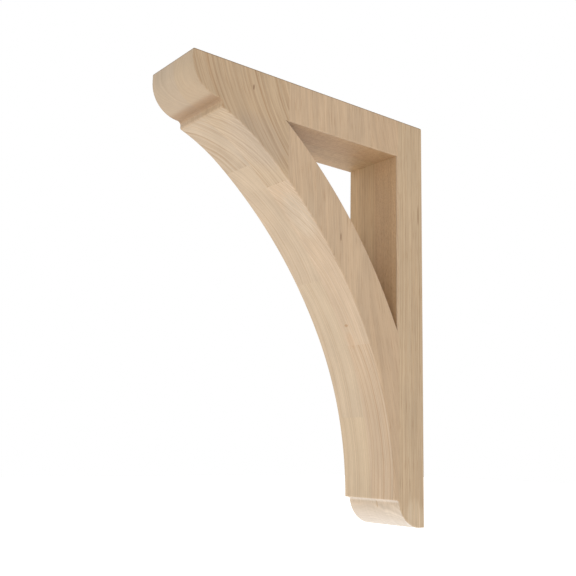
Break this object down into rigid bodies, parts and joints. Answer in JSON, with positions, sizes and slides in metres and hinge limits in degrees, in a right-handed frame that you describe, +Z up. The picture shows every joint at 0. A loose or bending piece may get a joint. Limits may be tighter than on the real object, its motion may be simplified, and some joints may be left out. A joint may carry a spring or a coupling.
{
  "type": "wooden corbel bracket",
  "caption": "Unfinished wooden corbel bracket: a flat arm and leg with rounded, stepped ends, joined by a curved brace around an open three-sided window.",
  "frame": {"origin": "middle of the flat back face, where the bracket is fixed to the wall", "axes": "+Z up along the leg, +Y out of the back face into the wall, the nose reaches out along -Y, X across the width"},
  "size_m": [0.061, 0.2453, 0.3556],
  "materials": {
    "rubberwood": "sanded, unfinished"
  },
  "bodies": {
    "root": {"bracket": "rubberwood"}
  },
  "joints": []
}
